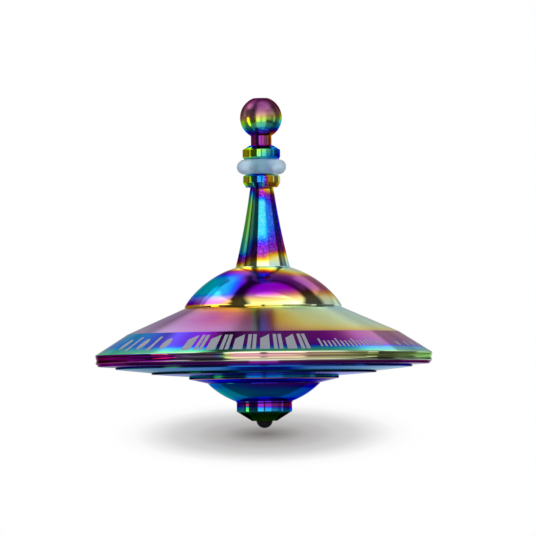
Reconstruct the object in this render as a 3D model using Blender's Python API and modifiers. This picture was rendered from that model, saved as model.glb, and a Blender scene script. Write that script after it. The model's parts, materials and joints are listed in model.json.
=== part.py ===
"""A finger-twirled precision top in the shape of a flying saucer, as an assembly of nine turned pieces.

Every piece is a body of revolution about +Z, which is the axis the top spins on. The origin is the lowest
point of the ceramic ball, where the top touches the table. All lengths below are millimetres.

How it goes together: the lower hull carries a hub on which the upper hull and the dome are centred. The
stem's tail screws down into the hub and clamps both. The tip holder's shank screws up into the same hub and
clamps the bowl. The ball is pressed into the holder. The knob screws into the stem and traps the soft ring.
"""

import math

import bmesh
import bpy
from mathutils import Vector

MM = 0.001
COLLECTION = "saucer_top"

# ---------------------------------------------------------------- driving dimensions
HULL_RADIUS = 24.0
TIP_BALL_RADIUS = 1.2
KNOB_BALL_RADIUS = 2.98
KNOB_BALL_HEIGHT = 44.25
RING_MEAN_RADIUS = 2.48
RING_SECTION_RADIUS = 1.04

# Fits
SEAT_GAP = 0.04
THREAD_GAP = 0.05
BALL_GAP = 0.05
EDGE = 0.08
LEAD_IN = 0.2

# Heights above the table
HOLDER_FACE = 1.03
HOLDER_CONE_TOP = 2.38
HOLDER_SEAT = 3.6
BOWL_NECK_TOP = 3.84
BOWL_SEAT = 6.45
STEP_C = (7.02, 7.41)
STEP_B = (7.79, 8.0)
STEP_A = (8.55, 8.82)
RIM_FACE_BOTTOM = 9.46
RIM_CHAMFER_BOTTOM = 8.96
HULL_SEAM = 10.28
RIM_TOP = 10.64
BAND_TOP = 13.56
DOME_SEAT = 17.15
DOME_LIP_TOP = 17.4
DOME_CENTRE = 10.0
COLLAR_BOTTOM = 34.31
COLLAR_TOP = 36.15
COLLAR_EDGES = (34.97, 35.89)
KNOB_COLLAR_BOTTOM = 38.3
KNOB_COLLAR_EDGES = (38.63, 39.67)
KNOB_COLLAR_TOP = 40.27
TAPER_TOP = 33.93
SHOULDER_TOP = 22.98

# Radii
HOLDER_RADIUS = 3.95
HOLDER_FACE_RADIUS = 1.78
SHANK_RADIUS = 1.5
BOWL_NECK_RADIUS = 4.2
BOWL_RADIUS = 7.98
BOWL_SPHERE_RADIUS = 11.37
BOWL_SPHERE_HEIGHT = 14.46
BOWL_SPIGOT_RADIUS = 3.5
STEP_C_FOOT = 10.2
STEP_RADII = (10.68, 16.02, 21.15)
RIM_CHAMFER_RADIUS = 23.57
BREAK_RADIUS = 19.33
HUB_RADIUS = 5.0
DOME_RADIUS = 11.18
DOME_SPHERE_RADIUS = 13.47
SHOULDER_RADIUS = 4.1
TAIL_RADIUS = 2.0
TAPER_FOOT_RADIUS = 3.85
TAPER_NECK_RADIUS = 1.71
COLLAR_RADIUS = 2.635
COLLAR_UNDER_RADIUS = 2.25
COLLAR_FACE_RADIUS = 2.09
STUD_RADIUS = 1.0
SPIGOT_RADIUS = 1.42
KNOB_COLLAR_RADIUS = 2.68
KNOB_COLLAR_UNDER_RADIUS = 2.46
KNOB_COLLAR_FACE_RADIUS = 1.7
KNOB_NECK_RADIUS = 1.47
KNOB_FLAT_RADIUS = 1.07

# Lengths inside
RIM_WAIST_DEPTH = 0.16
BOWL_SPIGOT_HEIGHT = 0.8
HUB_TOP = 18.0
HUB_FLOOR = 9.0
TAIL_END = 9.3
SHANK_END = 8.7
STUD_LENGTH = 4.0
STUD_CLEARANCE = 0.4

# How much of the stem's taper is straight; the rest grows with the square of the distance down
TAPER_STRAIGHT = 0.73

LARGE_TURN = 48
SMALL_TURN = 32
MERGE_DISTANCE = 1e-6
SMOOTH_BELOW_DEG = 35.0

# ---------------------------------------------------------------- colours (linear), roughness, metallic
FINISHES = {
    "tip_ball": ((0.012, 0.012, 0.014), 0.12, 0.0),
    "tip_holder": ((0.01, 0.10, 0.12), 0.14, 1.0),
    "keel_bowl": ((0.01, 0.03, 0.16), 0.14, 1.0),
    "lower_hull": ((0.10, 0.02, 0.12), 0.12, 1.0),
    "upper_hull": ((0.36, 0.14, 0.46), 0.22, 1.0),
    "dome_cap": ((0.20, 0.05, 0.45), 0.12, 1.0),
    "stem": ((0.03, 0.22, 0.40), 0.12, 1.0),
    "grip_ring": ((0.42, 0.55, 0.66), 0.35, 0.0),
    "finger_knob": ((0.28, 0.08, 0.22), 0.12, 1.0),
}


def arc(height, radius, start_deg, end_deg, steps):
    """Points on a circle about (0, height), with angles measured from straight up towards +X."""
    points = []
    for i in range(steps + 1):
        angle = math.radians(start_deg + (end_deg - start_deg) * i / steps)
        points.append((radius * math.sin(angle), height + radius * math.cos(angle)))
    return points


def polar_deg(radius_out, sphere_radius):
    """The angle from the axis at which a sphere reaches a given distance from the axis."""
    return math.degrees(math.asin(radius_out / sphere_radius))


def clear_scene():
    for obj in list(bpy.data.objects):
        bpy.data.objects.remove(obj)


def make_collection():
    collection = bpy.data.collections.new(COLLECTION)
    bpy.context.scene.collection.children.link(collection)
    return collection


def make_material(name):
    colour, roughness, metallic = FINISHES[name]
    material = bpy.data.materials.new(name)
    material.use_nodes = True
    shader = material.node_tree.nodes["Principled BSDF"]
    shader.inputs["Base Color"].default_value = (*colour, 1.0)
    shader.inputs["Roughness"].default_value = roughness
    shader.inputs["Metallic"].default_value = metallic
    return material


def make_pivot(collection, name, height, parent=None):
    """An empty on the spin axis that carries one group of pieces. Heights are above the table."""
    pivot = bpy.data.objects.new(name, None)
    collection.objects.link(pivot)
    pivot.parent = parent
    base = parent.matrix_world.translation.z if parent else 0.0
    pivot.location.z = height * MM - base
    bpy.context.view_layer.update()
    return pivot


def place(obj, mesh, height, pivot, collection):
    obj.location.z = height * MM - pivot.matrix_world.translation.z
    obj.parent = pivot
    collection.objects.link(obj)
    mesh.materials.append(make_material(obj.name))


def turned(name, outline, turn, height, pivot, collection, closed):
    """A piece turned on the lathe: outline points are (radius, height), running down the outer side."""
    mesh = bpy.data.meshes.new(name)
    vertices = [Vector((r, 0.0, z - height)) * MM for r, z in outline]
    edges = [(i, i + 1) for i in range(len(vertices) - 1)]
    if closed:
        edges.append((len(vertices) - 1, 0))
    mesh.from_pydata(vertices, edges, [])
    obj = bpy.data.objects.new(name, mesh)
    place(obj, mesh, height, pivot, collection)
    screw = obj.modifiers.new("turn", "SCREW")
    screw.axis = "Z"
    screw.angle = math.tau
    screw.steps = turn
    screw.render_steps = turn
    screw.use_merge_vertices = True
    screw.merge_threshold = MERGE_DISTANCE
    screw.use_smooth_shade = True
    return obj


def smooth(mesh):
    mesh.shade_smooth()
    mesh.set_sharp_from_angle(angle=math.radians(SMOOTH_BELOW_DEG))


# ---------------------------------------------------------------- the pieces, from the table upwards
def make_tip_ball(pivot, collection):
    mesh = bpy.data.meshes.new("tip_ball")
    form = bmesh.new()
    bmesh.ops.create_uvsphere(
        form, u_segments=SMALL_TURN, v_segments=SMALL_TURN // 2, radius=TIP_BALL_RADIUS * MM
    )
    form.to_mesh(mesh)
    form.free()
    smooth(mesh)
    place(bpy.data.objects.new("tip_ball", mesh), mesh, TIP_BALL_RADIUS, pivot, collection)


def make_tip_holder(pivot, collection):
    """A flanged nose that holds the ball in a spherical socket, with a threaded shank on top."""
    socket_radius = TIP_BALL_RADIUS + BALL_GAP
    mouth_deg = math.degrees(math.acos((HOLDER_FACE - TIP_BALL_RADIUS) / socket_radius))
    outline = [
        (0.0, SHANK_END),
        (SHANK_RADIUS - LEAD_IN, SHANK_END),
        (SHANK_RADIUS, SHANK_END - LEAD_IN),
        (SHANK_RADIUS, HOLDER_SEAT),
        (HOLDER_RADIUS - EDGE, HOLDER_SEAT),
        (HOLDER_RADIUS, HOLDER_SEAT - EDGE),
        (HOLDER_RADIUS, HOLDER_CONE_TOP),
        (HOLDER_FACE_RADIUS, HOLDER_FACE),
    ]
    outline += arc(TIP_BALL_RADIUS, socket_radius, mouth_deg, 0.0, 8)
    turned("tip_holder", outline, SMALL_TURN, HOLDER_SEAT, pivot, collection, closed=False)


def make_keel_bowl(pivot, collection):
    """The bowl under the hull: a spherical belly that runs in to a short neck."""
    bore = SHANK_RADIUS + THREAD_GAP
    foot = HOLDER_SEAT + SEAT_GAP
    top = BOWL_SEAT - SEAT_GAP
    neck_side = HOLDER_RADIUS + EDGE
    rim_deg = 180.0 - polar_deg(BOWL_RADIUS, BOWL_SPHERE_RADIUS)
    neck_deg = 180.0 - polar_deg(BOWL_NECK_RADIUS + EDGE, BOWL_SPHERE_RADIUS)
    outline = [
        (bore, top + BOWL_SPIGOT_HEIGHT),
        (BOWL_SPIGOT_RADIUS, top + BOWL_SPIGOT_HEIGHT),
        (BOWL_SPIGOT_RADIUS, top),
        (BOWL_RADIUS, top),
    ]
    outline += arc(BOWL_SPHERE_HEIGHT, BOWL_SPHERE_RADIUS, rim_deg, neck_deg, 8)
    outline += [
        (neck_side, BOWL_NECK_TOP),
        (neck_side, foot),
        (bore, foot),
    ]
    turned("keel_bowl", outline, LARGE_TURN, BOWL_SEAT, pivot, collection, closed=True)


def rim_waist(top, bottom):
    """The shallow hollow round the rim's upright face."""
    points = []
    steps = 4
    for i in range(steps + 1):
        share = i / steps
        hollow = RIM_WAIST_DEPTH * math.sin(math.pi * share)
        points.append((HULL_RADIUS - hollow, top + (bottom - top) * share))
    return points


def make_lower_hull(pivot, collection):
    """The flywheel disc with the rim and the stepped underside, and the hub everything is centred on."""
    tail_bore = TAIL_RADIUS + THREAD_GAP
    shank_bore = SHANK_RADIUS + THREAD_GAP
    recess = BOWL_SPIGOT_RADIUS + THREAD_GAP
    recess_floor = BOWL_SEAT + BOWL_SPIGOT_HEIGHT + SEAT_GAP
    outline = [
        (tail_bore, HUB_TOP),
        (HUB_RADIUS - LEAD_IN, HUB_TOP),
        (HUB_RADIUS, HUB_TOP - LEAD_IN),
        (HUB_RADIUS, HULL_SEAM),
        (HULL_RADIUS - EDGE, HULL_SEAM),
    ]
    outline += rim_waist(HULL_SEAM - EDGE, RIM_FACE_BOTTOM)
    outline.append((RIM_CHAMFER_RADIUS, RIM_CHAMFER_BOTTOM))
    for radius, step in zip(reversed(STEP_RADII), (STEP_A, STEP_B, STEP_C)):
        bottom, top = step
        outline.append((radius, top))
        outline.append((radius, bottom))
    outline += [
        (STEP_C_FOOT, STEP_C[0] - EDGE),
        (BOWL_RADIUS + EDGE, BOWL_SEAT),
        (recess, BOWL_SEAT),
        (recess, recess_floor),
        (shank_bore, recess_floor),
        (shank_bore, HUB_FLOOR),
        (tail_bore, HUB_FLOOR),
    ]
    turned("lower_hull", outline, LARGE_TURN, HULL_SEAM, pivot, collection, closed=True)


def make_upper_hull(pivot, collection):
    """The cone that covers the disc: a satin inner slope and a steeper polished band at its edge."""
    bore = HUB_RADIUS + THREAD_GAP
    bottom = HULL_SEAM + SEAT_GAP
    outline = [
        (bore, DOME_SEAT),
        (DOME_RADIUS, DOME_SEAT),
        (BREAK_RADIUS, BAND_TOP),
        (HULL_RADIUS - EDGE, RIM_TOP),
        (HULL_RADIUS, RIM_TOP - EDGE),
        (HULL_RADIUS, bottom + EDGE),
        (HULL_RADIUS - EDGE, bottom),
        (bore, bottom),
    ]
    turned("upper_hull", outline, LARGE_TURN, HULL_SEAM, pivot, collection, closed=True)


def make_dome_cap(pivot, collection):
    """The domed cockpit with a small upright lip, counterbored underneath for the hub."""
    bore = TAIL_RADIUS + THREAD_GAP
    recess = HUB_RADIUS + THREAD_GAP
    bottom = DOME_SEAT + SEAT_GAP
    crown_deg = polar_deg(SHOULDER_RADIUS, DOME_SPHERE_RADIUS)
    lip_deg = math.degrees(math.atan2(DOME_RADIUS, DOME_LIP_TOP - DOME_CENTRE))
    dome = arc(DOME_CENTRE, DOME_SPHERE_RADIUS, crown_deg, lip_deg, 9)[:-1]
    outline = [(bore, dome[0][1])] + dome
    outline += [
        (DOME_RADIUS, DOME_LIP_TOP),
        (DOME_RADIUS, bottom),
        (recess, bottom),
        (recess, HUB_TOP + SEAT_GAP),
        (bore, HUB_TOP + SEAT_GAP),
    ]
    turned("dome_cap", outline, LARGE_TURN, DOME_SEAT, pivot, collection, closed=True)


def taper_radius(share):
    """The stem's radius, from its neck (0) to its foot (1)."""
    growth = TAPER_STRAIGHT * share + (1.0 - TAPER_STRAIGHT) * share * share
    return TAPER_NECK_RADIUS + (TAPER_FOOT_RADIUS - TAPER_NECK_RADIUS) * growth


def make_stem(pivot, collection):
    """The flared column: a collar on top, a shoulder on the dome and a long threaded tail below."""
    bore = STUD_RADIUS + THREAD_GAP
    bore_floor = COLLAR_TOP - STUD_LENGTH - STUD_CLEARANCE
    shoulder = DOME_CENTRE + math.sqrt(DOME_SPHERE_RADIUS**2 - SHOULDER_RADIUS**2) + SEAT_GAP
    outline = [
        (0.0, bore_floor),
        (bore, bore_floor),
        (bore, COLLAR_TOP),
        (COLLAR_FACE_RADIUS, COLLAR_TOP),
        (COLLAR_RADIUS, COLLAR_EDGES[1]),
        (COLLAR_RADIUS, COLLAR_EDGES[0]),
        (COLLAR_UNDER_RADIUS, COLLAR_BOTTOM),
        (TAPER_NECK_RADIUS - EDGE, COLLAR_BOTTOM),
    ]
    steps = 6
    for i in range(steps + 1):
        share = i / steps
        outline.append((taper_radius(share), TAPER_TOP + (SHOULDER_TOP - TAPER_TOP) * share))
    outline += [
        (SHOULDER_RADIUS - EDGE, shoulder),
        (TAIL_RADIUS, shoulder),
        (TAIL_RADIUS, TAIL_END + LEAD_IN),
        (TAIL_RADIUS - LEAD_IN, TAIL_END),
        (0.0, TAIL_END),
    ]
    turned("stem", outline, SMALL_TURN, shoulder, pivot, collection, closed=False)


def make_grip_ring(pivot, collection, height):
    bpy.ops.mesh.primitive_torus_add(
        major_radius=RING_MEAN_RADIUS * MM,
        minor_radius=RING_SECTION_RADIUS * MM,
        major_segments=LARGE_TURN,
        minor_segments=SMALL_TURN // 2,
    )
    ring = bpy.context.object
    ring.name = "grip_ring"
    for other in list(ring.users_collection):
        other.objects.unlink(ring)
    smooth(ring.data)
    place(ring, ring.data, height, pivot, collection)


def make_finger_knob(pivot, collection):
    """The ball knob on its neck and collar, with a plain spigot through the ring and a threaded stud."""
    flat_deg = polar_deg(KNOB_FLAT_RADIUS, KNOB_BALL_RADIUS)
    neck_deg = 180.0 - polar_deg(KNOB_NECK_RADIUS, KNOB_BALL_RADIUS)
    spigot_end = COLLAR_TOP + SEAT_GAP
    stud_end = COLLAR_TOP - STUD_LENGTH
    ball = arc(KNOB_BALL_HEIGHT, KNOB_BALL_RADIUS, flat_deg, neck_deg, 12)
    outline = [(0.0, ball[0][1])] + ball
    outline += [
        (KNOB_NECK_RADIUS, KNOB_COLLAR_TOP),
        (KNOB_COLLAR_FACE_RADIUS, KNOB_COLLAR_TOP),
        (KNOB_COLLAR_RADIUS, KNOB_COLLAR_EDGES[1]),
        (KNOB_COLLAR_RADIUS, KNOB_COLLAR_EDGES[0]),
        (KNOB_COLLAR_UNDER_RADIUS, KNOB_COLLAR_BOTTOM),
        (SPIGOT_RADIUS, KNOB_COLLAR_BOTTOM),
        (SPIGOT_RADIUS, spigot_end),
        (STUD_RADIUS, spigot_end),
        (STUD_RADIUS, stud_end + LEAD_IN),
        (STUD_RADIUS - LEAD_IN, stud_end),
        (0.0, stud_end),
    ]
    turned("finger_knob", outline, SMALL_TURN, spigot_end, pivot, collection, closed=False)


def build():
    clear_scene()
    collection = make_collection()
    ring_height = (COLLAR_TOP + KNOB_COLLAR_BOTTOM) / 2.0
    point = make_pivot(collection, "point_pivot", TIP_BALL_RADIUS)
    lean = make_pivot(collection, "lean_pivot", TIP_BALL_RADIUS, point)
    spin = make_pivot(collection, "spin_pivot", HOLDER_SEAT, lean)
    ring = make_pivot(collection, "ring_pivot", ring_height, spin)
    knob = make_pivot(collection, "knob_pivot", COLLAR_TOP, ring)
    make_tip_ball(point, collection)
    make_tip_holder(lean, collection)
    make_keel_bowl(spin, collection)
    make_lower_hull(spin, collection)
    make_upper_hull(spin, collection)
    make_dome_cap(spin, collection)
    make_stem(spin, collection)
    make_grip_ring(ring, collection, ring_height)
    make_finger_knob(knob, collection)


build()
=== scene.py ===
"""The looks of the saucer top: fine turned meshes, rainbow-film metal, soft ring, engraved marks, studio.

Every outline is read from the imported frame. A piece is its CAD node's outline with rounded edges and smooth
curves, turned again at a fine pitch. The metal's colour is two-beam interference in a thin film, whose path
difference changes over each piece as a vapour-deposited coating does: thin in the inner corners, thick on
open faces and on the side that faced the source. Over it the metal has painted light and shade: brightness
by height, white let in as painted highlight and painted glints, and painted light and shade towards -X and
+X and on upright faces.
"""

import json
import math

import bpy
from mathutils import Matrix, Vector


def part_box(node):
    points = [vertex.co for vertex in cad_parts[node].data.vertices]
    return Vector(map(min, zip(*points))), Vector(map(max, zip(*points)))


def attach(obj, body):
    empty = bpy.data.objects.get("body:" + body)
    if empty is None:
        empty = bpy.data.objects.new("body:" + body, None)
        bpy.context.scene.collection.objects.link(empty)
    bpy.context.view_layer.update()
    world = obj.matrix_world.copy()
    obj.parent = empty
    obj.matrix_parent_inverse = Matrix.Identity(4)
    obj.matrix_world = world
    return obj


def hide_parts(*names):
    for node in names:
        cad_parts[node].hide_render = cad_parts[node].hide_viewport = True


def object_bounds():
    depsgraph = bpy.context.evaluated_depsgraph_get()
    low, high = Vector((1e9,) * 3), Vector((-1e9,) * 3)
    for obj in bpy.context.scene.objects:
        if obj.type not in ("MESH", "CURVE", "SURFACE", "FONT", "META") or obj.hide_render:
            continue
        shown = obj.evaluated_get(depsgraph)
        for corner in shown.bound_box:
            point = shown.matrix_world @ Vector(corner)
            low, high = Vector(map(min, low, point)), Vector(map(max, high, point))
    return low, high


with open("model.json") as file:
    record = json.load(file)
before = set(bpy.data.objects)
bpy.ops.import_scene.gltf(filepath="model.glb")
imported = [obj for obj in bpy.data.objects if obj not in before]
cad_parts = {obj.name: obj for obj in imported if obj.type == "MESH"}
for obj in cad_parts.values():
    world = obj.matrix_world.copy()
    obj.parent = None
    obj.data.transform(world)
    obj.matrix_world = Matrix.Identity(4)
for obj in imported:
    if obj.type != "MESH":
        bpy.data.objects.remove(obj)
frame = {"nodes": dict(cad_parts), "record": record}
cad_low, cad_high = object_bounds()

MM = 0.001
TINY = 1e-7
CORNER_DEG = 29.0
LONGEST_CHORD = 2.5 * MM
CHORD_RATIO = 1.9
EDGE_ROUND = 0.07 * MM
EDGE_SHARE = 0.45
FILLET_STEPS = 5
CURVE_STEPS = 4
FINE_TURN = 288
SMALL_TURN = 160
SEAT_PLAY = 0.05 * MM

BODY_OF = {n: b for b, nodes in frame["record"]["behaviour"]["bodies"].items() for n in nodes}


# ---------------------------------------------------------------- outlines from the frame
def cad_outline(node):
    """The node's outline on the XZ half-plane as (radius, height) points, with the solid on their right.
    Also says whether it is a closed loop. One that isn't starts and ends on the axis."""
    mesh = frame["nodes"][node].data
    points = {}
    for v in mesh.vertices:
        if abs(v.co.y) < TINY and v.co.x > -TINY:
            points[v.index] = (round(max(v.co.x, 0.0), 7), round(v.co.z, 7))
    links = {}
    for edge in mesh.edges:
        a, b = (points.get(i) for i in edge.vertices)
        if a and b and a != b:
            links.setdefault(a, set()).add(b)
            links.setdefault(b, set()).add(a)
    ends = [p for p, near in links.items() if len(near) == 1]
    chain = [max(ends or links, key=lambda p: (p[1], -p[0]))]
    onward = sorted(links[chain[0]], key=lambda p: -p[0])
    while onward:
        chain.append(onward[0])
        onward = [p for p in links[chain[-1]] if p not in chain]
    if ends:
        for place, end in ((0, chain[0]), (len(chain) + 1, chain[-1])):
            if end[0] > TINY:
                chain.insert(place, (0.0, end[1]))
    return [Vector(p) for p in chain], not ends


def is_corner(before, point, after):
    """True where the outline has an edge, and False where it runs along a curve."""
    lengths = sorted([(point - before).length, (after - point).length])
    turn = math.degrees((point - before).angle(after - point))
    return turn > CORNER_DEG or lengths[1] > LONGEST_CHORD or lengths[1] > CHORD_RATIO * lengths[0]


def rounded_corner(before, corner, after):
    """(point, direction) pairs on a small curve that touches both sides of the corner."""
    way_in = (corner - before).normalized()
    way_out = (after - corner).normalized()
    room = EDGE_SHARE * min((corner - before).length, (after - corner).length)
    reach = min(EDGE_ROUND * math.tan(way_in.angle(way_out) / 2.0), room)
    pairs = []
    for i in range(FILLET_STEPS + 1):
        t = i / FILLET_STEPS
        point = corner + reach * (way_out * t**2 - way_in * (1.0 - t) ** 2)
        pairs.append((point, (way_in * (1.0 - t) + way_out * t).normalized()))
    return pairs


def smooth_span(a, b, way_a, way_b):
    """(point, direction) pairs between points a and b of a curve that runs along way_a and then way_b."""
    chord = b - a
    along = chord.normalized()
    if way_a is None:
        way_a = 2.0 * way_b.dot(along) * along - way_b
    if way_b is None:
        way_b = 2.0 * way_a.dot(along) * along - way_a
    pairs = []
    for i in range(1, CURVE_STEPS):
        t = i / CURVE_STEPS
        point = a * (2 * t**3 - 3 * t**2 + 1) + b * (3 * t**2 - 2 * t**3)
        point += chord.length * (way_a * (t**3 - 2 * t**2 + t) + way_b * (t**3 - t**2))
        way = (b - a) * (6 * t - 6 * t**2)
        way += chord.length * (way_a * (3 * t**2 - 4 * t + 1) + way_b * (3 * t**2 - 2 * t))
        pairs.append((point, way.normalized()))
    return pairs


def fine_outline(outline, closed):
    """The outline with rounded edges and smooth curves, as (point, direction) pairs."""
    count = len(outline)
    ways = []
    for i, point in enumerate(outline):
        before = outline[i - 1]
        after = outline[(i + 1) % count]
        if not closed and i in (0, count - 1):
            ways.append(None)
        elif is_corner(before, point, after):
            ways.append(None)
        else:
            ways.append(((point - before).normalized() + (after - point).normalized()).normalized())
    pairs = []
    for i, point in enumerate(outline):
        before = outline[i - 1]
        after = outline[(i + 1) % count]
        if not closed and i == 0:
            pairs.append((point, (after - point).normalized()))
        elif not closed and i == count - 1:
            pairs.append((point, (point - before).normalized()))
            break
        elif ways[i] is None:
            pairs += rounded_corner(before, point, after)
        else:
            pairs.append((point, ways[i]))
        next_way = ways[(i + 1) % count]
        if ways[i] or next_way:
            pairs += smooth_span(point, after, ways[i], next_way)
    return pairs


def turned(name, pairs, closed, turns):
    """Turns an outline about the spin axis into one closed mesh with exact normals."""
    vertices, normals, rows = [], [], []
    for point, way in pairs:
        normal = Vector((-way.y, way.x))
        if point.x < TINY:
            rows.append([len(vertices)] * turns)
            vertices.append((0.0, 0.0, point.y))
            normals.append((0.0, 0.0, math.copysign(1.0, normal.y)))
            continue
        rows.append(list(range(len(vertices), len(vertices) + turns)))
        for k in range(turns):
            angle = math.tau * k / turns
            vertices.append((point.x * math.cos(angle), point.x * math.sin(angle), point.y))
            normals.append((normal.x * math.cos(angle), normal.x * math.sin(angle), normal.y))
    faces = []
    for upper, lower in zip(rows, rows[1:] + rows[:1] if closed else rows[1:]):
        for k in range(turns):
            m = (k + 1) % turns
            corners = dict.fromkeys([upper[k], lower[k], lower[m], upper[m]])
            faces.append(list(corners))
    mesh = bpy.data.meshes.new(name)
    mesh.from_pydata(vertices, [], faces)
    mesh.shade_smooth()
    mesh.normals_split_custom_set_from_vertices(normals)
    obj = bpy.data.objects.new(name, mesh)
    bpy.context.scene.collection.objects.link(obj)
    return obj


def stand_for(obj, node):
    """Puts the fine piece in the place of its CAD node, on the node's body, and hides the node."""
    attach(obj, BODY_OF[node])
    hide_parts(node)


def turned_piece(node, name, turns, metal, *outer_metals):
    """The fine version of a CAD node. Each outer metal comes with the radius that it starts at."""
    outline, closed = cad_outline(node)
    obj = turned(name, fine_outline(outline, closed), closed, turns)
    obj.data.materials.append(metal)
    for index, (outer_metal, from_radius) in enumerate(outer_metals, start=1):
        obj.data.materials.append(outer_metal)
        for face in obj.data.polygons:
            if math.hypot(face.center.x, face.center.y) > from_radius:
                face.material_index = index
    stand_for(obj, node)
    return obj


# ---------------------------------------------------------------- node trees
class Graph:
    """A short way to write a node tree: every call adds one node and returns its output socket."""

    def __init__(self, tree):
        self.tree = tree

    def add(self, kind, **settings):
        node = self.tree.nodes.new(kind)
        for key, value in settings.items():
            setattr(node, key, value)
        return node

    def feed(self, socket, value):
        if isinstance(value, bpy.types.NodeSocket):
            self.tree.links.new(value, socket)
        else:
            socket.default_value = value

    def math(self, operation, *values, clamp=False):
        node = self.add("ShaderNodeMath", operation=operation, use_clamp=clamp)
        for socket, value in zip(node.inputs, values):
            self.feed(socket, value)
        return node.outputs[0]

    def vector(self, operation, *values):
        node = self.add("ShaderNodeVectorMath", operation=operation)
        for socket, value in zip(node.inputs, values):
            self.feed(socket, value)
        return node.outputs["Value" if operation in ("DOT_PRODUCT", "LENGTH") else "Vector"]

    def step(self, value, low, high):
        """0 below low, 1 above high, smooth in between; low may be above high."""
        node = self.add("ShaderNodeMapRange", interpolation_type="SMOOTHSTEP")
        self.feed(node.inputs["Value"], value)
        flip = low > high
        self.feed(node.inputs["From Min"], min(low, high))
        self.feed(node.inputs["From Max"], max(low, high))
        self.feed(node.inputs["To Min"], 1.0 if flip else 0.0)
        self.feed(node.inputs["To Max"], 0.0 if flip else 1.0)
        return node.outputs["Result"]

    def spread(self, value, from_low, from_high, to_low, to_high):
        node = self.add("ShaderNodeMapRange")
        for name, v in zip(("Value", "From Min", "From Max", "To Min", "To Max"),
                           (value, from_low, from_high, to_low, to_high)):
            self.feed(node.inputs[name], v)
        return node.outputs["Result"]

    def blend(self, factor, a, b):
        node = self.add("ShaderNodeMix", data_type="FLOAT", clamp_factor=False)
        self.feed(node.inputs["Factor"], factor)
        self.feed(node.inputs["A"], a)
        self.feed(node.inputs["B"], b)
        return node.outputs["Result"]

    def blend_colour(self, factor, a, b, mode="MIX"):
        node = self.add("ShaderNodeMix", data_type="RGBA", blend_type=mode)
        self.feed(node.inputs["Factor"], factor)
        self.feed(node.inputs[6], a)
        self.feed(node.inputs[7], b)
        return node.outputs[2]

    def curve(self, value, points):
        """A smooth curve through (share, value) points, as a grey colour ramp."""
        node = self.add("ShaderNodeValToRGB")
        ramp = node.color_ramp
        ramp.interpolation = "CARDINAL"
        while len(ramp.elements) < len(points):
            ramp.elements.new(0.5)
        for element, (share, grey) in zip(ramp.elements, points):
            element.position = share
            element.color = (grey, grey, grey, 1.0)
        self.feed(node.inputs["Fac"], value)
        return node.outputs["Color"]

    def noise(self, where, scale, detail=2.0):
        node = self.add("ShaderNodeTexNoise")
        self.feed(node.inputs["Vector"], where)
        node.inputs["Scale"].default_value = scale
        node.inputs["Detail"].default_value = detail
        return node.outputs["Fac"]

    def surface(self, shader):
        out = self.add("ShaderNodeOutputMaterial")
        self.feed(out.inputs["Surface"], shader.outputs[0])


def new_material(name):
    material = bpy.data.materials.new(name)
    material.use_nodes = True
    material.node_tree.nodes.clear()
    return material, Graph(material.node_tree)


# ---------------------------------------------------------------- the rainbow film
WAVELENGTHS_NM = (615.0, 545.0, 455.0)
FILM_INDEX = 3.0
FILM_DEPTH = 1.25
PATH_SCALE_NM = 2000.0
PATH_DRIFT_NM = 14.0
DRIFT_SCALE = 260.0
GRAIN_SCALE = 3600.0
GRAIN_SPREAD = (0.88, 1.12)
GLINT_SPECK_SCALE = 6800.0
MOST_HIGHLIGHT_VEIL = 0.95
FLAT_FROM = 0.25
FLAT_FULL = 0.6
AXIS_GUARD = 0.1 * MM
QUARTER_TURN = 0.25
EVEN = ((0.0, 0.0), (1.0, 1.0))
NO_PAINTED_SIDE_LIGHT = (0.0, 0.0, 1.0, 1.0)


def film_group():
    """Path difference in nanometres to the colour that two-beam interference leaves."""
    group = bpy.data.node_groups.new("film_colour", "ShaderNodeTree")
    group.interface.new_socket("Path", in_out="INPUT", socket_type="NodeSocketFloat")
    group.interface.new_socket("Veil", in_out="INPUT", socket_type="NodeSocketFloat")
    group.interface.new_socket("Colour", in_out="OUTPUT", socket_type="NodeSocketColor")
    g = Graph(group)
    inlet = g.add("NodeGroupInput")
    outlet = g.add("NodeGroupOutput")
    combine = g.add("ShaderNodeCombineColor")
    for socket, wavelength in zip(combine.inputs, WAVELENGTHS_NM):
        phase = g.math("MULTIPLY", inlet.outputs["Path"], math.tau / wavelength)
        beam = g.math("MULTIPLY_ADD", g.math("COSINE", phase), 0.5, 0.5)
        deep = g.math("POWER", beam, FILM_DEPTH)
        rest = g.math("SUBTRACT", 1.0, inlet.outputs["Veil"])
        g.feed(socket, g.math("MULTIPLY_ADD", deep, rest, inlet.outputs["Veil"]))
    g.feed(outlet.inputs["Colour"], combine.outputs[0])
    return group


FILM = film_group()


def level(value):
    """The points of a curve that stays at one value."""
    return (0.0, value), (1.0, value)


def film_path(g, where, along, sides, stops):
    """The film's path difference in nanometres at a place. sides holds for -X and for +X how far the place
    lies to that side and the swing there."""
    low, high = stops[0][0], stops[-1][0]
    left, middle, right = (
        g.curve(along, [((stop[0] - low) / (high - low), stop[column] / PATH_SCALE_NM) for stop in stops])
        for column in (1, 2, 3)
    )
    path = middle
    for (way, swing), side in zip(sides, (left, right)):
        path = g.blend(g.curve(way, swing), path, side)
    path = g.math("MULTIPLY", path, PATH_SCALE_NM)
    drift = g.math("SUBTRACT", g.noise(where, DRIFT_SCALE), 0.5)
    return g.math("MULTIPLY_ADD", drift, 2.0 * PATH_DRIFT_NM, path)


def cosine_in_film(g):
    """The cosine of the angle between the ray inside the film and the film's normal."""
    geometry = g.add("ShaderNodeNewGeometry")
    facing = g.vector("DOT_PRODUCT", geometry.outputs["Normal"], geometry.outputs["Incoming"])
    sine2 = g.math("SUBTRACT", 1.0, g.math("MULTIPLY", facing, facing))
    return g.math("SQRT", g.math("SUBTRACT", 1.0, g.math("DIVIDE", sine2, FILM_INDEX**2)))


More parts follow.
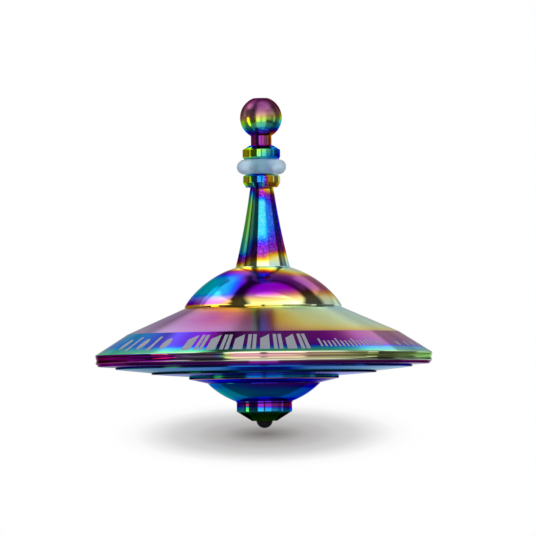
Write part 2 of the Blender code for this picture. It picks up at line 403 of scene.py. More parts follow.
def film_metal(name, stops, painted_light_levels=level(1.0), highlight_veils=level(0.02), roughs=level(0.06), left_swing=EVEN,
               right_swing=EVEN, haze=(NO_PAINTED_SIDE_LIGHT, NO_PAINTED_SIDE_LIGHT), upright_shade=1.0, brushed=0.0,
               glint_speckle=(0.0, 0.55, 0.75)):
    """Film-coated metal. Each stop is (height in mm, path at -X, path at the middle, path at +X), paths in
    nanometres, from the lowest height to the highest. The brightness curve, the white veil curve and roughs
    are (share of that height, amount): the brightness is painted light and shade, the white let in is painted
    highlight. The swings say how the path goes from the middle to a side. haze is for -X and for +X the white
    let in, where it starts, where it is full and the brightness left there, painted light and shade on that
    side. The brightness of upright faces is painted shade, brushed is how strongly fine turned lines stretch
    the highlights, and the last argument is the amount of white specks, painted glints, and the grain they
    start and are full at."""
    material, g = new_material(name)
    place = g.add("ShaderNodeTexCoord")
    where = place.outputs["Object"]
    parts = g.add("ShaderNodeSeparateXYZ")
    g.feed(parts.inputs[0], where)
    x, y, z = parts.outputs
    radius = g.math("SQRT", g.math("ADD", g.math("MULTIPLY", x, x), g.math("MULTIPLY", y, y)))
    to_right = g.math("DIVIDE", x, g.math("MAXIMUM", radius, AXIS_GUARD))
    to_left = g.math("MULTIPLY", to_right, -1.0)
    along = g.spread(z, stops[0][0] * MM, stops[-1][0] * MM, 0.0, 1.0)
    path = film_path(g, where, along, ((to_left, left_swing), (to_right, right_swing)), stops)
    grain = g.noise(where, GRAIN_SCALE, 1.0)
    # White specks let into the film colour: painted glints.
    glint_specks = g.step(g.noise(where, GLINT_SPECK_SCALE, 1.0), glint_speckle[1], glint_speckle[2])
    # The white let in by height: painted highlight that bleaches the film colour.
    highlight_veil = g.math("MULTIPLY_ADD", glint_specks, glint_speckle[0], g.curve(along, highlight_veils))
    # Brightness by height: painted light and shade.
    painted_level = g.curve(along, painted_light_levels)
    # Painted light and shade towards -X and +X: white let in or taken out, and brightness changed.
    for way, (amount, start, full, painted_side_dim) in zip((to_left, to_right), haze):
        share = g.step(way, start, full)
        highlight_veil = g.math("MULTIPLY_ADD", share, amount, highlight_veil)
        painted_level = g.math("MULTIPLY", painted_level, g.blend(share, 1.0, painted_side_dim))
    film = g.add("ShaderNodeGroup", node_tree=FILM)
    g.feed(film.inputs["Path"], g.math("MULTIPLY", path, cosine_in_film(g)))
    g.feed(film.inputs["Veil"], g.math("MAXIMUM", g.math("MINIMUM", highlight_veil, MOST_HIGHLIGHT_VEIL), 0.0))
    normal = g.add("ShaderNodeSeparateXYZ")
    g.feed(normal.inputs[0], place.outputs["Normal"])
    # Upright faces get their own brightness: painted shade.
    flat = g.step(g.math("ABSOLUTE", normal.outputs[2]), FLAT_FROM, FLAT_FULL)
    painted_level = g.math("MULTIPLY", painted_level, g.blend(flat, upright_shade, 1.0))
    shader = g.add("ShaderNodeBsdfPrincipled")
    colour = g.blend_colour(1.0, film.outputs["Colour"], painted_level, mode="MULTIPLY")
    g.feed(shader.inputs["Base Color"], colour)
    g.feed(shader.inputs["Specular Tint"], colour)
    shader.inputs["Metallic"].default_value = 1.0
    rough = g.math("MULTIPLY", g.curve(along, roughs), g.spread(grain, 0.0, 1.0, *GRAIN_SPREAD))
    g.feed(shader.inputs["Roughness"], rough)
    if brushed:
        tangent = g.add("ShaderNodeTangent", direction_type="RADIAL", axis="Z")
        g.feed(shader.inputs["Tangent"], tangent.outputs[0])
        shader.inputs["Anisotropic"].default_value = brushed
        shader.inputs["Anisotropic Rotation"].default_value = QUARTER_TURN
    g.surface(shader)
    return material


# ---------------------------------------------------------------- pieces
KNOB_FILM = (
    (38.3, 1040, 1005, 980), (38.75, 1250, 1010, 900), (39.1, 1240, 1030, 935), (39.6, 1230, 1060, 950),
    (39.95, 1120, 1025, 1000), (40.2, 880, 850, 850), (40.4, 815, 790, 765), (41.1, 820, 785, 755),
    (41.6, 845, 790, 720), (42.0, 900, 800, 760), (42.4, 1000, 910, 855), (42.8, 1070, 1000, 985),
    (43.4, 1150, 1035, 1035), (43.9, 1250, 1120, 1090), (44.3, 1290, 1190, 1200), (44.8, 1305, 1250, 1270),
    (45.5, 1320, 1300, 1310), (47.1, 1350, 1350, 1340),
)
# Painted light and shade on the knob: brighter at the neck, darker towards the top of the ball.
KNOB_PAINTED_LIGHT_AND_SHADE = (
    (0.0, 1.0), (0.22, 1.0), (0.26, 1.3), (0.36, 1.3), (0.43, 1.0), (0.6, 1.0), (0.7, 0.66), (0.78, 0.33),
    (1.0, 0.24),
)
# White let in on the knob: painted highlight, most on the upper ball.
KNOB_HIGHLIGHT_VEILS = (
    (0.0, 0.01), (0.21, 0.01), (0.25, 0.03), (0.35, 0.03), (0.42, 0.02), (0.58, 0.03), (0.68, 0.2),
    (1.0, 0.1),
)
KNOB_ROUGHS = ((0.0, 0.1), (0.4, 0.1), (0.5, 0.15), (0.62, 0.17), (0.74, 0.26), (1.0, 0.3))
STEM_FILM = (
    (22.9, 600, 550, 510), (23.4, 730, 560, 520), (23.8, 820, 640, 560), (24.25, 850, 740, 590),
    (24.75, 960, 788, 690), (25.25, 1020, 810, 800), (25.85, 1045, 825, 815), (26.6, 1065, 890, 840),
    (27.5, 1085, 975, 860), (28.5, 1100, 985, 900), (31.5, 1110, 985, 890), (32.4, 1080, 960, 840),
    (33.1, 1030, 820, 820), (33.65, 950, 795, 690), (34.1, 840, 775, 620), (34.4, 1040, 920, 700),
    (34.9, 1190, 930, 640), (35.3, 1220, 930, 600), (35.7, 1190, 930, 590), (36.1, 1050, 900, 540),
)
STEM_LEFT = ((0.0, 0.0), (0.3, 0.0), (0.5, 0.3), (0.7, 0.9), (1.0, 1.0))
STEM_RIGHT = ((0.0, 0.0), (0.1, 0.05), (0.3, 0.55), (0.5, 0.8), (1.0, 1.0))
DOME_FILM = (
    (17.25, 640, 600, 545), (17.65, 835, 600, 555), (17.95, 865, 620, 580), (18.3, 900, 695, 610),
    (18.6, 960, 785, 660), (19.05, 1025, 822, 725), (19.6, 1040, 838, 795), (21.0, 1035, 848, 805),
    (21.5, 985, 840, 775), (22.0, 865, 818, 620), (22.35, 815, 720, 560), (22.75, 560, 630, 520),
)
# White let in on the dome: painted highlight, most in a band low on the dome and towards the top.
DOME_HIGHLIGHT_VEILS = (
    (0.0, 0.06), (0.12, 0.1), (0.19, 0.22), (0.24, 0.22), (0.29, 0.07), (0.34, 0.01), (0.6, 0.02),
    (0.78, 0.1), (0.9, 0.14), (1.0, 0.14),
)
DOME_ROUGHS = ((0.0, 0.06), (0.6, 0.06), (0.8, 0.16), (1.0, 0.2))
DOME_LEFT = ((0.0, 0.0), (0.3, 0.03), (0.5, 0.6), (0.75, 0.9), (1.0, 1.0))
CONE_FILM = (
    (13.56, 848, 820, 655), (13.95, 846, 810, 610), (14.4, 845, 802, 565), (15.0, 845, 792, 541),
    (15.8, 845, 773, 535), (16.4, 845, 730, 530), (17.15, 800, 640, 520),
)
# White let in on the satin cone: painted sheen, palest at its lower edge.
CONE_HIGHLIGHT_VEILS = ((0.0, 0.3), (0.2, 0.26), (0.45, 0.19), (1.0, 0.17))
CONE_RIGHT = ((0.0, 0.0), (0.1, 0.3), (0.3, 0.62), (0.5, 0.75), (0.7, 0.85), (1.0, 1.0))
BAND_FILM = (
    (10.6, 1120, 1110, 1100), (10.8, 1065, 1065, 1045), (11.0, 1060, 1025, 1030), (11.25, 1040, 975, 1000),
    (11.55, 1010, 877, 855), (11.9, 1000, 840, 835), (13.0, 1020, 828, 815), (13.56, 1020, 828, 812),
)
BAND_LEFT = ((0.0, 0.0), (0.3, 0.0), (0.5, 0.25), (0.7, 0.5), (0.85, 0.9), (1.0, 1.0))
RIM_FILM = (
    (8.9, 850, 850, 860), (9.1, 835, 818, 838), (9.3, 822, 815, 830),
    (9.42, 818, 1180, 1125), (9.55, 815, 1185, 1125), (9.68, 815, 1200, 1120), (9.8, 815, 1215, 1120),
    (9.97, 815, 1245, 1125), (10.2, 818, 1270, 1135), (10.42, 820, 1250, 1130), (10.54, 835, 1200, 1110),
    (10.62, 1090, 1150, 1105), (10.68, 1110, 1120, 1100),
)
# White let in on the rim: painted highlights along its lower and upper edges.
RIM_HIGHLIGHT_VEILS = (
    (0.0, 0.05), (0.22, 0.05), (0.26, 0.7), (0.31, 0.75), (0.39, 0.5), (0.46, 0.45), (0.6, 0.35),
    (0.76, 0.35), (0.87, 0.6), (0.93, 0.7), (1.0, 0.5),
)
# Painted light and shade on the rim: brighter at its lower and upper edges, darker just above the lower edge.
RIM_PAINTED_LIGHT_AND_SHADE = (
    (0.0, 1.0), (0.22, 1.0), (0.27, 1.35), (0.31, 1.3), (0.36, 0.4), (0.43, 0.4), (0.5, 0.8),
    (0.6, 0.95), (0.86, 1.0), (0.9, 1.4), (1.0, 1.4),
)
RIM_LEFT = ((0.0, 0.0), (0.2, 0.1), (0.3, 1.0), (0.5, 1.18), (0.68, 1.22), (0.8, 1.02), (1.0, 1.0))
# The stop at 7.0 mm tints the painted highlight along the step's edge.
UNDER_FILM = (
    (6.4, 900, 885, 880), (6.95, 900, 885, 880), (7.0, 780, 700, 720), (7.1, 900, 865, 865),
    (7.3, 1030, 940, 1040), (7.5, 1035, 900, 1000), (7.7, 980, 905, 960), (7.85, 1010, 895, 875),
    (8.02, 1035, 1000, 1020), (8.4, 1020, 990, 1020), (8.62, 1025, 945, 1000), (8.74, 900, 860, 880),
    (8.9, 850, 845, 860),
)
# Painted shade on the step's upright face near 7.9 mm, and a painted highlight along the step's edge near 7.0
# mm.
UNDER_PAINTED_SHADE = ((0.0, 1.0), (0.52, 1.0), (0.55, 0.4), (0.65, 0.4), (0.68, 1.0), (1.0, 1.0))
UNDER_HIGHLIGHT_VEILS = ((0.0, 0.02), (0.225, 0.02), (0.24, 0.55), (0.26, 0.5), (0.28, 0.02), (1.0, 0.02))
BOWL_FILM = (
    (3.6, 890, 820, 840), (3.9, 950, 855, 880), (4.1, 1020, 890, 930), (4.4, 1045, 938, 980),
    (4.8, 1048, 967, 978), (5.2, 1045, 955, 975), (5.6, 1030, 918, 960), (6.0, 1000, 880, 890),
    (6.4, 1020, 845, 860),
)
HOLDER_FILM = (
    (1.0, 1080, 1120, 1080), (2.1, 1080, 1105, 1070), (2.3, 1070, 990, 1045), (2.5, 1035, 955, 965),
    (2.7, 1015, 945, 950), (2.9, 990, 900, 865), (3.1, 930, 800, 830), (3.3, 850, 790, 800),
    (3.6, 870, 815, 805),
)
# Painted shade on the holder: darker on its lower part and at its top where it meets the bowl.
HOLDER_PAINTED_SHADE = ((0.0, 0.2), (0.46, 0.2), (0.56, 1.0), (0.955, 1.0), (0.975, 0.12), (1.0, 0.12))

knob_metal = film_metal("film_knob", KNOB_FILM, KNOB_PAINTED_LIGHT_AND_SHADE, KNOB_HIGHLIGHT_VEILS, KNOB_ROUGHS)
# The stem's white specks are painted glints.
stem_metal = film_metal("film_stem", STEM_FILM, highlight_veils=level(0.0), roughs=level(0.09), left_swing=STEM_LEFT,
                        right_swing=STEM_RIGHT, glint_speckle=(0.2, 0.56, 0.66))
# haze paints light and shade on the sides: white towards -X and +X on dome, cone and band; on the rim, white
# taken out towards -X and the +X side darkened.
dome_metal = film_metal("film_dome", DOME_FILM, highlight_veils=DOME_HIGHLIGHT_VEILS, roughs=DOME_ROUGHS, left_swing=DOME_LEFT,
                        haze=((0.03, 0.3, 0.6, 1.0), (0.25, 0.4, 0.95, 1.0)))
cone_metal = film_metal("film_cone_satin", CONE_FILM, highlight_veils=CONE_HIGHLIGHT_VEILS, roughs=level(0.17),
                        right_swing=CONE_RIGHT, brushed=0.92,
                        haze=((0.3, 0.4, 1.0, 1.0), (0.2, 0.4, 1.0, 1.0)))
band_metal = film_metal("film_band", BAND_FILM, highlight_veils=level(0.05), left_swing=BAND_LEFT,
                        haze=((0.16, 0.35, 0.8, 1.0), (0.4, 0.4, 1.0, 1.0)))
rim_metal = film_metal("film_rim", RIM_FILM, RIM_PAINTED_LIGHT_AND_SHADE, RIM_HIGHLIGHT_VEILS, left_swing=RIM_LEFT,
                       haze=((-0.6, 0.42, 0.62, 1.0), (0.0, 0.55, 0.8, 0.85)))
# The underside's upright faces are darkened: painted shade.
under_metal = film_metal("film_underside", UNDER_FILM, UNDER_PAINTED_SHADE, UNDER_HIGHLIGHT_VEILS, level(0.14), upright_shade=0.42)
bowl_metal = film_metal("film_bowl", BOWL_FILM, roughs=level(0.1))
holder_metal = film_metal("film_holder", HOLDER_FILM, HOLDER_PAINTED_SHADE)

SEAM_LIP = 0.3 * MM
WALL_MARGIN = 0.03 * MM
BEAD_START = 0.98

hull_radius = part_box("lower_hull")[1].x
seam_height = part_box("upper_hull")[0].z
cone_outline = cad_outline("upper_hull")[0]
slope = sorted((p for p in cone_outline if p.y > seam_height + SEAM_LIP), key=lambda p: p.x)
break_point = slope[-2]
band_edge = slope[-1]

turned_piece("finger_knob", "knob", SMALL_TURN, knob_metal)
turned_piece("stem", "flared_stem", SMALL_TURN, stem_metal)
turned_piece("dome_cap", "dome", FINE_TURN, dome_metal)
turned_piece("upper_hull", "cone_cover", FINE_TURN, cone_metal,
             (band_metal, break_point.x), (rim_metal, band_edge.x - WALL_MARGIN))
turned_piece("lower_hull", "rim_disc", FINE_TURN, under_metal, (rim_metal, BEAD_START * hull_radius))
turned_piece("keel_bowl", "bowl", FINE_TURN, bowl_metal)
holder = turned_piece("tip_holder", "tip_nose", SMALL_TURN, holder_metal)


def close_seat(obj):
    """Lifts the holder's seat to the bowl's foot, so that no light shows through the play between them."""
    bowl_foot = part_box("keel_bowl")[0].z
    for vertex in obj.data.vertices:
        if bowl_foot - SEAT_PLAY < vertex.co.z < bowl_foot:
            vertex.co.z = bowl_foot + TINY


close_seat(holder)


# ---------------------------------------------------------------- ceramic ball and soft ring
CERAMIC_DARK = (0.006, 0.006, 0.008, 1.0)
CERAMIC_PALE = (0.016, 0.015, 0.018, 1.0)
CERAMIC_ROUGH = (0.05, 0.14)
CERAMIC_IOR = 1.14
CERAMIC_CLOUD_SCALE = 3000.0
SILICONE_DEEP = (0.5, 0.7, 0.88, 1.0)
SILICONE_PALE = (0.62, 0.79, 0.93, 1.0)
SILICONE_ROUGH = (0.28, 0.42)
SILICONE_HAZE_SCALE = 400.0
SILICONE_IOR = 1.41
SILICONE_CLEAR = 0.75
SILICONE_MILK = 0.5
SILICONE_SCATTER = (0.6 * MM, 0.8 * MM, 1.0 * MM)
RING_STEPS = 48
BALL_STEPS = 32


def ceramic():
    material, g = new_material("black_ceramic")
    where = g.add("ShaderNodeTexCoord").outputs["Object"]
    shader = g.add("ShaderNodeBsdfPrincipled")
    cloud = g.noise(where, CERAMIC_CLOUD_SCALE, 3.0)
    g.feed(shader.inputs["Base Color"], g.blend_colour(cloud, CERAMIC_DARK, CERAMIC_PALE))
    g.feed(shader.inputs["Roughness"], g.spread(cloud, 0.0, 1.0, *CERAMIC_ROUGH))
    shader.inputs["IOR"].default_value = CERAMIC_IOR
    g.surface(shader)
    return material


def silicone():
    material, g = new_material("clear_silicone")
    where = g.add("ShaderNodeTexCoord").outputs["Object"]
    shader = g.add("ShaderNodeBsdfPrincipled")
    haze = g.noise(where, SILICONE_HAZE_SCALE, 3.0)
    g.feed(shader.inputs["Base Color"], g.blend_colour(haze, SILICONE_DEEP, SILICONE_PALE))
    g.feed(shader.inputs["Roughness"], g.spread(haze, 0.0, 1.0, *SILICONE_ROUGH))
    shader.inputs["IOR"].default_value = SILICONE_IOR
    shader.inputs["Transmission Weight"].default_value = SILICONE_CLEAR
    shader.inputs["Subsurface Weight"].default_value = SILICONE_MILK
    shader.inputs["Subsurface Radius"].default_value = SILICONE_SCATTER
    shader.inputs["Subsurface Scale"].default_value = 1.0
    g.surface(shader)
    return material


def circle(centre_radius, centre_height, radius, start, sweep, steps):
    """(point, direction) pairs clockwise round a circle, from the start angle."""
    pairs = []
    for i in range(steps):
        angle = start - sweep * i / steps
        out = Vector((math.cos(angle), math.sin(angle)))
        pairs.append((Vector((centre_radius, centre_height)) + radius * out, Vector((out.y, -out.x))))
    return pairs


def make_ring():
    low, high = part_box("grip_ring")
    section = (high.z - low.z) / 2.0
    middle = (low.z + high.z) / 2.0
    pairs = circle(high.x - section, middle, section, math.pi / 2.0, math.tau, RING_STEPS)
    obj = turned("soft_ring", pairs, True, SMALL_TURN)
    obj.data.materials.append(silicone())
    stand_for(obj, "grip_ring")


def make_ball():
    low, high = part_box("tip_ball")
    radius = (high.z - low.z) / 2.0
    pairs = circle(0.0, low.z + radius, radius, math.pi / 2.0, math.pi, BALL_STEPS)
    pairs.append((Vector((0.0, low.z)), Vector((-1.0, 0.0))))
    obj = turned("ceramic_ball", pairs, False, SMALL_TURN)
    obj.data.materials.append(ceramic())
    stand_for(obj, "tip_ball")


make_ring()
make_ball()


# ---------------------------------------------------------------- engraved marks
MARK_PROUD = 0.005 * MM
MARK_DEPTH = 0.03 * MM
DEG_PER_FACE = 1.0
DOT_STEPS = 13
THINNEST_DOT = 0.02
FROST_DARK = (0.24, 0.26, 0.31, 1.0)
FROST_PALE = (0.4, 0.42, 0.48, 1.0)
FROST_ROUGH = (0.45, 0.65)
FROST_GRAIN_SCALE = 5000.0

# Bearings and widths are in degrees, and tops and feet are shares of the way down the band.
BLOCK_COUNT = 10
BLOCK_FIRST = -28.0
BLOCK_PITCH = 4.75
BLOCK_WIDTH = 3.4
BLOCK_TOP = 0.16
BLOCK_FOOT = 0.88
BLOCK_LEAN = 0.2
TWIN_WIDTH = 1.35
TWIN_ASIDE = 0.95
TICK_COUNT = 16
TICK_FIRST = 21.0
TICK_PITCH = 1.75
TICK_WIDTH = 0.8
TICK_TOP = 0.5
LONG_TICK_TOP = 0.4
TICK_FOOT = 0.78
SIGN_COUNT = 5
SIGN_FIRST = -38.5
SIGN_PITCH = -6.0
BAR_WIDTH = 1.6
BAR_TOP = 0.2
BAR_FOOT = 0.86
DISC_WIDTH = 3.6
DISC_MIDDLE = 0.54
DISC_TALL = 0.5
DOT_COUNT = 7
DOT_FIRST = 58.0
DOT_PITCH = 6.5
DOT_WIDTH = 1.6
DOT_MIDDLE = 0.62
DOT_TALL = 0.22


def frost():
    material, g = new_material("engraved_frost")
    where = g.add("ShaderNodeTexCoord").outputs["Object"]
    grain = g.noise(where, FROST_GRAIN_SCALE, 2.0)
    shader = g.add("ShaderNodeBsdfPrincipled")
    g.feed(shader.inputs["Base Color"], g.blend_colour(grain, FROST_DARK, FROST_PALE))
    g.feed(shader.inputs["Roughness"], g.spread(grain, 0.0, 1.0, *FROST_ROUGH))
    shader.inputs["Metallic"].default_value = 0.5
    g.surface(shader)
    return material


def add_mark(vertices, faces, outline):
    """One closed inlay on the band. outline is (degrees round, upper edge, lower edge) at each bearing, the
    edges as shares of the way down the band."""
    down = (band_edge - break_point).normalized()
    lift = Vector((-down.y, down.x))
    start = len(vertices)
    for degrees, upper, lower in outline:
        angle = math.radians(degrees - 90.0)
        corners = ((upper, MARK_PROUD), (lower, MARK_PROUD), (lower, -MARK_DEPTH), (upper, -MARK_DEPTH))
        for share, height in corners:
            point = break_point.lerp(band_edge, share) + lift * height
            vertices.append((point.x * math.cos(angle), point.x * math.sin(angle), point.y))
    last = len(outline) - 1
    for i in range(last):
        for k in range(4):
            a = start + 4 * i + k
            b = start + 4 * i + (k + 1) % 4
            faces.append((a, b, b + 4, a + 4))
    faces.append(tuple(start + k for k in (3, 2, 1, 0)))
    faces.append(tuple(start + 4 * last + k for k in range(4)))


def bar(centre, width, upper, lower, lean=0.0):
    """The outline of an upright bar with straight sides. lean shifts its left end's upper edge down."""
    count = max(2, math.ceil(width / DEG_PER_FACE) + 1)
    rows = []
    for i in range(count):
        t = i / (count - 1)
        rows.append((centre + width * (t - 0.5), upper + lean * (1.0 - t), lower))
    return rows


def disc(centre, width, middle, tall):
    """The outline of a dot, width in degrees and tall as a share of the band."""
    rows = []
    for i in range(DOT_STEPS):
        t = 2.0 * i / (DOT_STEPS - 1) - 1.0
        half = tall / 2.0 * max(math.sqrt(1.0 - t * t), THINNEST_DOT)
        rows.append((centre + width / 2.0 * t, middle - half, middle + half))
    return rows


def make_marks():
    """A ring of generic marks: blocks, ticks, bars and dots. It goes twice round so that it balances."""
    vertices, faces = [], []
    for half_turn in (0.0, 180.0):
        for i in range(BLOCK_COUNT):
            centre = half_turn + BLOCK_FIRST + BLOCK_PITCH * i
            if i % 2:
                for aside in (-TWIN_ASIDE, TWIN_ASIDE):
                    add_mark(vertices, faces, bar(centre + aside, TWIN_WIDTH, BLOCK_TOP, BLOCK_FOOT))
            else:
                add_mark(vertices, faces, bar(centre, BLOCK_WIDTH, BLOCK_TOP, BLOCK_FOOT, BLOCK_LEAN))
        for i in range(TICK_COUNT):
            centre = half_turn + TICK_FIRST + TICK_PITCH * i
            top = TICK_TOP if i % 4 else LONG_TICK_TOP
            add_mark(vertices, faces, bar(centre, TICK_WIDTH, top, TICK_FOOT))
        for i in range(SIGN_COUNT):
            centre = half_turn + SIGN_FIRST + SIGN_PITCH * i
            if i % 2:
                add_mark(vertices, faces, bar(centre, BAR_WIDTH, BAR_TOP, BAR_FOOT))
            else:
                add_mark(vertices, faces, disc(centre, DISC_WIDTH, DISC_MIDDLE, DISC_TALL))
        for i in range(DOT_COUNT):
            centre = half_turn + DOT_FIRST + DOT_PITCH * i
            add_mark(vertices, faces, disc(centre, DOT_WIDTH, DOT_MIDDLE, DOT_TALL))
    mesh = bpy.data.meshes.new("engraved_marks")
    mesh.from_pydata(vertices, [], faces)
    mesh.materials.append(frost())
    obj = bpy.data.objects.new("engraved_marks", mesh)
    bpy.context.scene.collection.objects.link(obj)
    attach(obj, BODY_OF["upper_hull"])


make_marks()


# ---------------------------------------------------------------- studio
DEG_PER_RAD = 180.0 / math.pi
WHITE = (1.0, 1.0, 1.0, 1.0)
LAMP_COLOUR = (1.0, 0.95, 0.12, 1.0)
ROOM_GLOW = 0.05
LEAST_UP = 0.02
WINDOW_ACROSS = 0.3
WINDOW_BACK = -0.3
WINDOW_HALF = 0.6
SPOT_ACROSS = 0.18
SPOT_BACK = -0.12
SPOT_HALF_ACROSS = 0.3
SPOT_HALF_BACK = 0.09
SLANT = 0.9


def make_world():
    """Soft light cards that only reflections see. Everything else sees an even white room. bearing is in
    degrees round from the camera's side and rise in degrees up. across and back are where a direction meets
    a ceiling one unit up, and forward is how far it points to the camera's side."""
    world = bpy.data.worlds.new("studio")
    bpy.context.scene.world = world
    world.use_nodes = True
    world.node_tree.nodes.clear()
    g = Graph(world.node_tree)
    way = g.add("ShaderNodeTexCoord").outputs["Generated"]
    parts = g.add("ShaderNodeSeparateXYZ")
    g.feed(parts.inputs[0], way)
    x, y, z = parts.outputs
    forward = g.math("MULTIPLY", y, -1.0)
    bearing = g.math("MULTIPLY", g.math("ARCTAN2", x, forward), DEG_PER_RAD)
    rise = g.math("MULTIPLY", g.math("ARCSINE", z), DEG_PER_RAD)

    def card(strength, *limits):
        """A soft-edged light card: limits are (field, low, high, softness)."""
        mask = strength
        for field, low, high, soft in limits:
            mask = g.math("MULTIPLY", mask, g.step(field, low - soft, low + soft))
            mask = g.math("MULTIPLY", mask, g.step(field, high + soft, high - soft))
        return mask

    def oval(aside, half_across, behind, half_back):
        """0 at the middle of an oval on the ceiling and 1 at its edge."""
        return g.math("ADD", g.math("POWER", g.math("DIVIDE", aside, half_across), 2.0),
                      g.math("POWER", g.math("DIVIDE", behind, half_back), 2.0))

    up = g.math("MAXIMUM", z, LEAST_UP)
    across = g.math("DIVIDE", x, up)
    back = g.math("DIVIDE", y, up)
    behind = g.math("MAXIMUM", g.math("SUBTRACT", back, WINDOW_BACK), 0.0)
    reach = oval(g.math("SUBTRACT", across, WINDOW_ACROSS), WINDOW_HALF, behind, WINDOW_HALF)
    slant = g.math("SUBTRACT", across, g.math("MULTIPLY", back, SLANT))
    glow = oval(g.math("SUBTRACT", across, SPOT_ACROSS), SPOT_HALF_ACROSS,
                g.math("SUBTRACT", back, SPOT_BACK), SPOT_HALF_BACK)
    cards = [
        card(1.15, (bearing, -27, -2.5, 1.2), (rise, -26, 12, 3)),
        card(0.9, (bearing, 2.5, 29, 2), (rise, -26, 12, 3)),
        card(1.25, (bearing, -27, 29, 2), (rise, 12, 60, 4)),
        card(0.15, (bearing, 29, 77, 2), (rise, -12, 60, 6)),
        card(0.2, (bearing, 29, 58, 4), (rise, -12, 10, 6)),
        card(0.55, (bearing, 29, 77, 2), (rise, 14, 60, 6)),
        card(0.6, (bearing, 76, 85, 1), (rise, -18, 40, 3)),
        card(0.06, (bearing, 90, 130, 6), (rise, -12, 20, 4)),
        card(0.65, (bearing, 130, 155, 5), (rise, -10, 20, 4)),
        card(0.4, (bearing, 155, 185, 4), (rise, -10, 20, 4)),
        card(0.14, (bearing, -185, -92, 4), (rise, -26, 20, 4)),
        card(0.25, (bearing, -185, -150, 6), (rise, 4, 20, 4)),
        card(0.3, (bearing, -111, -92, 2), (rise, 6, 60, 4)),
        card(0.12, (bearing, -79, -60, 2), (rise, 9, 50, 4)),
        card(0.95, (reach, -1.0, 1.0, 0.28), (rise, 58, 95, 3)),
        card(0.95, (reach, -1.0, 1.0, 0.28), (rise, 42, 58, 3), (bearing, 29, 130, 4)),
        card(0.9, (glow, -1.0, 1.0, 0.4), (rise, 58, 95, 3)),
        card(2.4, (across, -1.3, -0.64, 0.06), (back, -0.18, 0.62, 0.1)),
        card(1.0, (across, -0.62, -0.22, 0.05), (slant, -2.0, -0.54, 0.06), (back, -0.2, 0.72, 0.08)),
        card(0.6, (across, -2.5, -0.62, 0.06), (back, 0.62, 0.95, 0.08)),
        card(0.78, (across, -0.42, -0.1, 0.03), (back, 0.72, 2.1, 0.1)),
        card(0.6, (across, 0.38, 0.82, 0.05), (back, 0.72, 1.45, 0.08)),
        card(0.2, (across, -0.1, 0.6, 0.08), (back, 0.4, 0.8, 0.1)),
        card(0.45, (back, 0.75, 6.0, 0.2), (rise, 20, 70, 8)),
        card(0.45, (forward, 0.1, 2.0, 0.06), (rise, -89, -28, 4), (bearing, -33, 33, 4)),
        card(0.15, (forward, 0.1, 2.0, 0.06), (rise, -89, -28, 4)),
        card(0.12, (forward, -2.0, -0.3, 0.1), (rise, -28, -4, 4)),
        card(0.3, (forward, -2.0, -0.93, 0.03), (rise, -6.0, 0.3, 0.4)),
        card(0.22, (forward, -2.0, -0.62, 0.05), (rise, -52, -6, 5)),
        card(0.05, (forward, -2.0, 0.1, 0.06), (rise, -89, -28, 4)),
    ]
    lamp = card(2.2, (bearing, -83, -69, 1), (rise, -36.0, 1.8, 1.0))
    total = ROOM_GLOW
    for mask in cards:
        total = g.math("ADD", total, mask)
    glossy = g.add("ShaderNodeLightPath").outputs["Is Glossy Ray"]
    room = g.add("ShaderNodeBackground")
    room.inputs["Color"].default_value = WHITE
    g.feed(room.inputs["Strength"], g.blend(glossy, 1.0, total))
    warm = g.add("ShaderNodeBackground")
    warm.inputs["Color"].default_value = LAMP_COLOUR
    g.feed(warm.inputs["Strength"], g.math("MULTIPLY", glossy, lamp))
    both = g.add("ShaderNodeAddShader")
    g.feed(both.inputs[0], room.outputs[0])
    g.feed(both.inputs[1], warm.outputs[0])
    out = g.add("ShaderNodeOutputWorld")
    g.feed(out.inputs["Surface"], both.outputs[0])


PAPER_FIBRE_SCALE = 900.0
PAPER_GLOW = (0.997, 1.0)
FLOOR_HALF = 3.0
FLOOR_GAP = 0.02 * MM
FLOOR_TILT_DEG = 12.4
LEVEL_VIEW_HEIGHT = 0.03
SHADOW_REACH = 23.0 * MM
SHADOW_FORWARD = 3.6 * MM
SHADOW_CORE = (0.2, 0.186, 0.183, 1.0)
SHADOW_FADE = ((0.0, 0.0), (0.22, 0.27), (0.4, 0.45), (0.59, 0.63), (0.78, 0.9), (0.89, 0.975), (1.0, 1.0))


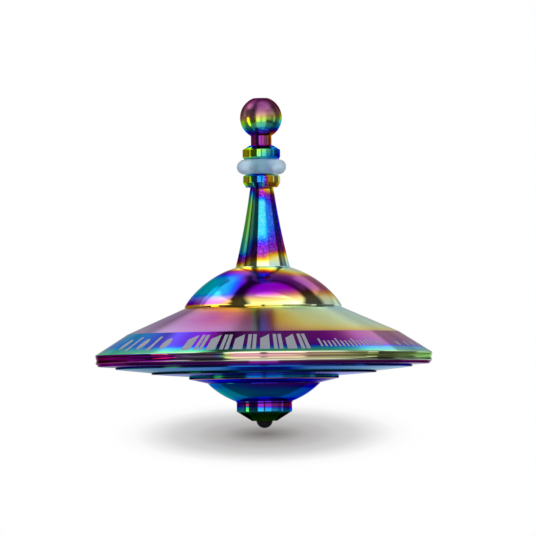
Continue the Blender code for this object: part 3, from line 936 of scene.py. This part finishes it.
def floor_material():
    """Pale paper that glows evenly, with the soft round shadow of the top under the tip."""
    material, g = new_material("pale_paper")
    where = g.add("ShaderNodeTexCoord").outputs["Object"]
    from_middle = g.vector("SUBTRACT", where, (0.0, -SHADOW_FORWARD, 0.0))
    away = g.math("DIVIDE", g.vector("LENGTH", from_middle), SHADOW_REACH)
    light = g.curve(g.math("MINIMUM", away, 1.0), SHADOW_FADE)
    fibre = g.spread(g.noise(where, PAPER_FIBRE_SCALE, 3.0), 0.0, 1.0, *PAPER_GLOW)
    glow = g.add("ShaderNodeEmission")
    g.feed(glow.inputs["Color"], g.blend_colour(light, SHADOW_CORE, WHITE))
    g.feed(glow.inputs["Strength"], fibre)
    g.surface(glow)
    return material


def make_floor(camera):
    """A sheet under the tip. For a camera as low as the photo's it tips up, so that its shadow shows."""
    h = FLOOR_HALF
    mesh = bpy.data.meshes.new("floor")
    mesh.from_pydata([(-h, -h, 0), (h, -h, 0), (h, h, 0), (-h, h, 0)], [], [(0, 1, 2, 3)])
    mesh.materials.append(floor_material())
    floor = bpy.data.objects.new("floor", mesh)
    bpy.context.scene.collection.objects.link(floor)
    floor.location.z = -FLOOR_GAP
    floor.visible_glossy = False
    driver = floor.driver_add("rotation_euler", 0).driver
    driver.type = "SCRIPTED"
    height = driver.variables.new()
    height.name = "height"
    height.type = "TRANSFORMS"
    height.targets[0].id = camera
    height.targets[0].transform_type = "LOC_Z"
    height.targets[0].transform_space = "WORLD_SPACE"
    driver.expression = f"{math.radians(FLOOR_TILT_DEG)} * (height < {LEVEL_VIEW_HEIGHT})"


VIEW_DISTANCE = 0.85
VIEW_HEIGHT = 0.0
FRAME_SHARE = 1.5905
AIM_SHARE = 0.485
AIM_ASIDE = 0.75 * MM
ROLL_DEG = 0.7


def make_camera():
    data = bpy.data.cameras.new("view")
    camera = bpy.data.objects.new("view", data)
    bpy.context.scene.collection.objects.link(camera)
    width = (cad_high.x - cad_low.x) * FRAME_SHARE
    data.lens = data.sensor_width * VIEW_DISTANCE / width
    data.clip_start = 0.05
    data.clip_end = 50.0
    place = Vector((AIM_ASIDE, -VIEW_DISTANCE, VIEW_HEIGHT))
    aim = Vector((AIM_ASIDE, 0.0, cad_high.z * AIM_SHARE))
    turn = (aim - place).to_track_quat("-Z", "Y").to_matrix().to_4x4()
    roll = Matrix.Rotation(math.radians(-ROLL_DEG), 4, "Z")
    camera.matrix_world = Matrix.Translation(place) @ turn @ roll
    bpy.context.scene.camera = camera
    return camera


make_world()
make_floor(make_camera())
bpy.context.scene.view_settings.view_transform = "Standard"
